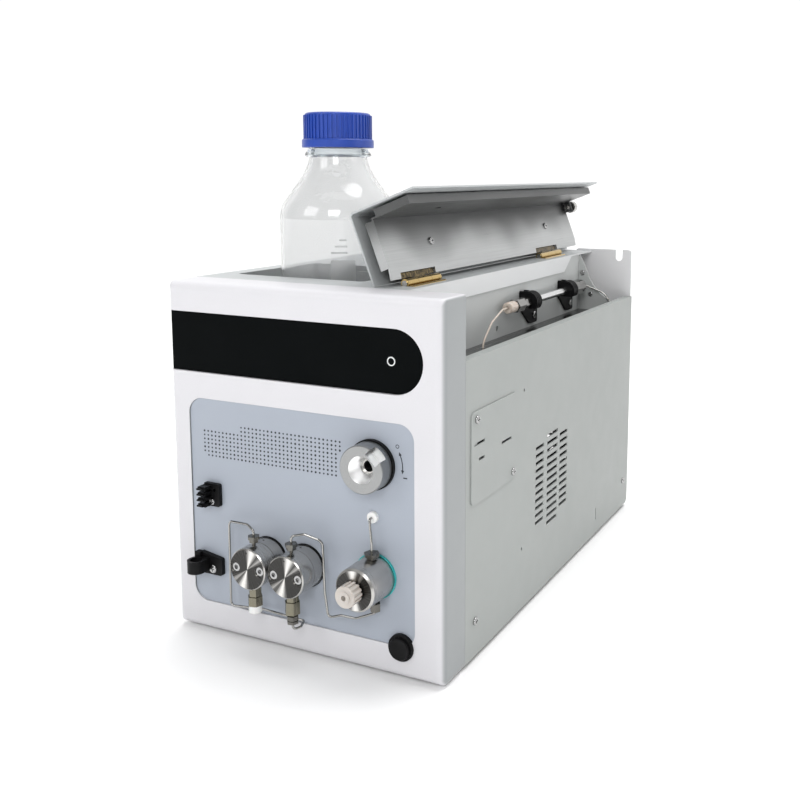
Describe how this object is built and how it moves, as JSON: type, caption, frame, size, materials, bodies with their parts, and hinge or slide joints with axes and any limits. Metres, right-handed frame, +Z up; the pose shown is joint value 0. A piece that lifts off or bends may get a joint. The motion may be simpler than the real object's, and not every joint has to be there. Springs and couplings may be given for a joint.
{
  "type": "liquid chromatography system",
  "caption": "Compact bench liquid chromatograph: metal case with a dual-head pump, purge and injection valves on its front, a solvent bottle in its top and a column under a hinged lid.",
  "frame": {"origin": "bottom centre of the whole part's box, on the plane its feet stand on", "axes": "+X to the viewer's right when facing the front panel, +Y from the front panel to the rear panel, +Z up"},
  "size_m": [0.216, 0.4296, 0.3625],
  "materials": {
    "base_tray": "painted sheet",
    "feet": "matt rubber",
    "front_bezel": "satin white paint",
    "display_window": "polished black",
    "front_panel": "satin paint",
    "right_side_panel": "fine powder coat",
    "left_side_panel": "fine powder coat",
    "top_cover": "fine powder coat",
    "rear_panel": "satin white paint",
    "access_plate": "fine powder coat",
    "case_screws": "plated",
    "bottle_well": "painted sheet",
    "solvent_bottle": "clear glass",
    "pouring_ring": "clear plastic",
    "bottle_cap": "moulded plastic",
    "compartment_liner": "bright sheet",
    "hinge_fixed_leaves": "polished",
    "hinge_pins": "ground",
    "column_tube": "polished",
    "column_end_fittings": "turned",
    "column_nut": "turned plastic",
    "column_clips": "moulded plastic",
    "column_inlet_tube": "drawn plastic",
    "column_outlet_tube": "drawn",
    "left_pump_head": "turned",
    "right_pump_head": "turned",
    "seal_housings": "turned",
    "pump_head_screws": "plated",
    "check_valves": "machined",
    "tube_nuts": "machined",
    "inlet_plug": "moulded plastic",
    "crossover_tube": "drawn",
    "outlet_tube": "drawn",
    "riser_tube": "drawn",
    "purge_valve_body": "turned",
    "purge_valve_collar": "moulded plastic",
    "purge_knob": "turned plastic",
    "injector_body": "turned",
    "valve_collars": "moulded plastic",
    "injector_knob": "bead blasted",
    "tube_grommet": "moulded plastic",
    "tube_comb": "moulded plastic",
    "syringe_clip": "moulded plastic",
    "button_bezel": "moulded plastic",
    "power_button": "moulded plastic",
    "pump_drive_housing": "cast",
    "drive_motor": "painted",
    "detector_unit": "cast",
    "main_board": "laminate",
    "power_supply": "folded sheet",
    "fan_frame": "moulded plastic",
    "fan_rotor": "moulded plastic",
    "power_inlet": "moulded plastic",
    "lid_outer": "fine powder coat",
    "lid_liner": "bare sheet",
    "lid_screws": "plated",
    "hinge_moving_leaves": "polished",
    "lid_thumbscrew": "knurled",
    "left_plunger": "polished",
    "right_plunger": "polished"
  },
  "bodies": {
    "case": {"base_tray": "base_tray", "feet": "feet", "front_bezel": "front_bezel", "display_window": "display_window", "front_panel": "front_panel", "right_side_panel": "right_side_panel", "left_side_panel": "left_side_panel", "top_cover": "top_cover", "rear_panel": "rear_panel", "access_plate": "access_plate", "case_screws": "case_screws", "bottle_well": "bottle_well", "solvent_bottle": "solvent_bottle", "pouring_ring": "pouring_ring", "compartment_liner": "compartment_liner", "hinge_fixed_leaves": "hinge_fixed_leaves", "hinge_pins": "hinge_pins", "column_tube": "column_tube", "column_end_fittings": "column_end_fittings", "column_nut": "column_nut", "column_clips": "column_clips", "column_inlet_tube": "column_inlet_tube", "column_outlet_tube": "column_outlet_tube", "left_pump_head": "left_pump_head", "right_pump_head": "right_pump_head", "seal_housings": "seal_housings", "pump_head_screws": "pump_head_screws", "check_valves": "check_valves", "tube_nuts": "tube_nuts", "inlet_plug": "inlet_plug", "crossover_tube": "crossover_tube", "outlet_tube": "outlet_tube", "riser_tube": "riser_tube", "purge_valve_body": "purge_valve_body", "purge_valve_collar": "purge_valve_collar", "injector_body": "injector_body", "valve_collars": "valve_collars", "tube_grommet": "tube_grommet", "tube_comb": "tube_comb", "syringe_clip": "syringe_clip", "button_bezel": "button_bezel", "pump_drive_housing": "pump_drive_housing", "drive_motor": "drive_motor", "detector_unit": "detector_unit", "main_board": "main_board", "power_supply": "power_supply", "fan_frame": "fan_frame", "power_inlet": "power_inlet"},
    "lid": {"lid_outer": "lid_outer", "lid_liner": "lid_liner", "lid_screws": "lid_screws", "hinge_moving_leaves": "hinge_moving_leaves"},
    "thumbscrew": {"lid_thumbscrew": "lid_thumbscrew"},
    "cap": {"bottle_cap": "bottle_cap"},
    "purge_knob": {"purge_knob": "purge_knob"},
    "injector_knob": {"injector_knob": "injector_knob"},
    "power_button": {"power_button": "power_button"},
    "fan_rotor": {"fan_rotor": "fan_rotor"},
    "left_plunger": {"left_plunger": "left_plunger"},
    "right_plunger": {"right_plunger": "right_plunger"}
  },
  "joints": [
    {"name": "lid_hinge", "type": "hinge", "parent": "case", "child": "lid", "pos_m": [0.05205, 0.02775, 0.2483], "axis": [0, 1, 0], "range_deg": [0, 111]},
    {"name": "thumbscrew_turn", "type": "hinge", "parent": "lid", "child": "thumbscrew", "pos_m": [0.04095, 0.20975, 0.28743], "axis": [0, 1, 0], "range_deg": [0, 720]},
    {"name": "cap_turn", "type": "hinge", "parent": "case", "child": "cap", "pos_m": [-0.03585, -0.07395, 0.3505], "axis": [0, 0, 1], "range_deg": [0, 450]},
    {"name": "purge_knob_turn", "type": "hinge", "parent": "case", "child": "purge_knob", "pos_m": [0.05695, -0.20825, 0.06715], "axis": [0, -1, 0], "range_deg": [0, 540]},
    {"name": "injector_turn", "type": "hinge", "parent": "case", "child": "injector_knob", "pos_m": [0.05525, -0.18625, 0.1398], "axis": [0, 1, 0], "range_deg": [0, 60]},
    {"name": "power_button_press", "type": "slide", "parent": "case", "child": "power_button", "axis": [0, 1, 0], "range_m": [0, 0.0025], "stiffness_N_per_m": 400, "springref_m": -0.002},
    {"name": "fan_spin", "type": "hinge", "parent": "case", "child": "fan_rotor", "pos_m": [0.04355, 0.19375, 0.0645], "axis": [0, 1, 0], "continuous": true},
    {"name": "left_plunger_slide", "type": "slide", "parent": "case", "child": "left_plunger", "axis": [0, -1, 0], "range_m": [0, 0.006], "stiffness_N_per_m": 1500, "springref_m": -0.002},
    {"name": "right_plunger_slide", "type": "slide", "parent": "case", "child": "right_plunger", "axis": [0, -1, 0], "range_m": [0, 0.006], "stiffness_N_per_m": 1500, "springref_m": -0.002}
  ]
}
